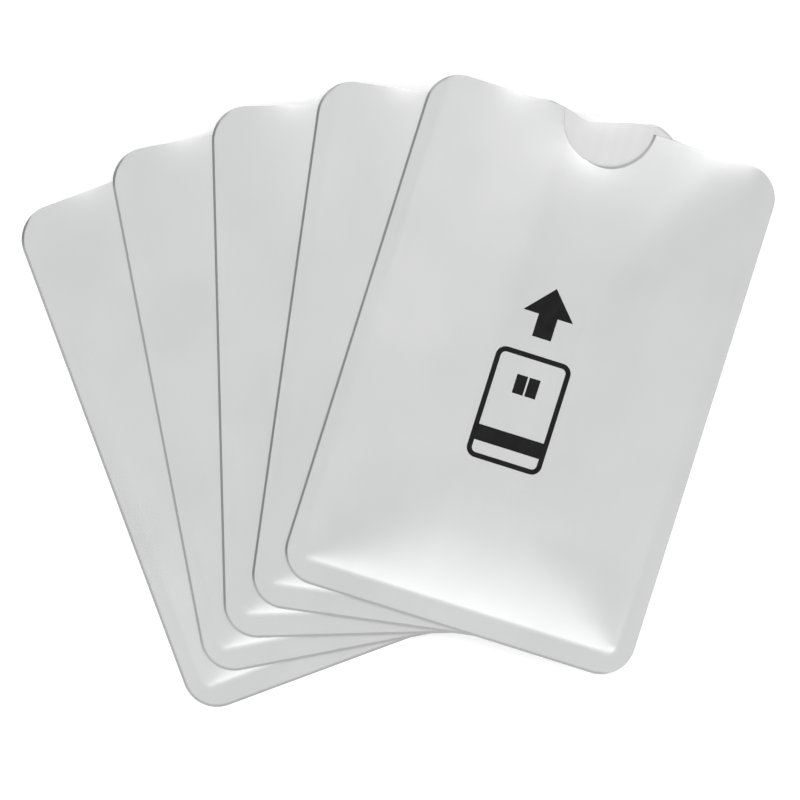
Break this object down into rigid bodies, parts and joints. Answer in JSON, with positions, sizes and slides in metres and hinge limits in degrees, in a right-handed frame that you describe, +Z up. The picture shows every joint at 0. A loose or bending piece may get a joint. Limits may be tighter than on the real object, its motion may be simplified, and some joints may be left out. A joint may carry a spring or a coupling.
{
  "type": "card sleeve",
  "caption": "Fanned pile of thin foil-laminate card sleeves, each a flat pocket sealed at its sides and bottom, open at the top with a half-round thumb notch.",
  "frame": {"origin": "middle of the fanned set seen from above, on the surface it lies on", "axes": "+Z up out of the printed front panels; +Y towards the mouths, up in the picture; +X to the right in the picture, the way the fan spreads"},
  "size_m": [0.1304, 0.1094, 0.0064],
  "materials": {
    "outer_film": "satin metallised silver",
    "shielding_foil": "bright rolled foil",
    "inner_liner": "satin silver-white",
    "seam_weld": "satin",
    "printed_ink": "matt black"
  },
  "bodies": {
    "sleeve_1": {"front_film_1": "outer_film", "front_foil_1": "shielding_foil", "front_liner_1": "inner_liner", "back_film_1": "outer_film", "back_foil_1": "shielding_foil", "back_liner_1": "inner_liner", "left_seam_1": "seam_weld", "right_seam_1": "seam_weld", "end_seam_1": "seam_weld", "print_1": "printed_ink"},
    "sleeve_2": {"front_film_2": "outer_film", "front_foil_2": "shielding_foil", "front_liner_2": "inner_liner", "back_film_2": "outer_film", "back_foil_2": "shielding_foil", "back_liner_2": "inner_liner", "left_seam_2": "seam_weld", "right_seam_2": "seam_weld", "end_seam_2": "seam_weld", "print_2": "printed_ink"},
    "sleeve_3": {"front_film_3": "outer_film", "front_foil_3": "shielding_foil", "front_liner_3": "inner_liner", "back_film_3": "outer_film", "back_foil_3": "shielding_foil", "back_liner_3": "inner_liner", "left_seam_3": "seam_weld", "right_seam_3": "seam_weld", "end_seam_3": "seam_weld", "print_3": "printed_ink"},
    "sleeve_4": {"front_film_4": "outer_film", "front_foil_4": "shielding_foil", "front_liner_4": "inner_liner", "back_film_4": "outer_film", "back_foil_4": "shielding_foil", "back_liner_4": "inner_liner", "left_seam_4": "seam_weld", "right_seam_4": "seam_weld", "end_seam_4": "seam_weld", "print_4": "printed_ink"},
    "sleeve_5": {"front_film_5": "outer_film", "front_foil_5": "shielding_foil", "front_liner_5": "inner_liner", "back_film_5": "outer_film", "back_foil_5": "shielding_foil", "back_liner_5": "inner_liner", "left_seam_5": "seam_weld", "right_seam_5": "seam_weld", "end_seam_5": "seam_weld", "print_5": "printed_ink"}
  },
  "joints": [
    {"name": "fan_4", "type": "hinge", "parent": "sleeve_5", "child": "sleeve_4", "pos_m": [0.00833, -0.06416, 0.0013], "axis": [0, 0, 1], "range_deg": [-9.46, 9.46]},
    {"name": "fan_3", "type": "hinge", "parent": "sleeve_4", "child": "sleeve_3", "pos_m": [0.00833, -0.06416, 0.0026], "axis": [0, 0, 1], "range_deg": [-9.46, 9.46]},
    {"name": "fan_2", "type": "hinge", "parent": "sleeve_3", "child": "sleeve_2", "pos_m": [0.00833, -0.06416, 0.0039], "axis": [0, 0, 1], "range_deg": [-9.46, 9.46]},
    {"name": "fan_1", "type": "hinge", "parent": "sleeve_2", "child": "sleeve_1", "pos_m": [0.00833, -0.06416, 0.0052], "axis": [0, 0, 1], "range_deg": [-9.46, 9.46]}
  ]
}
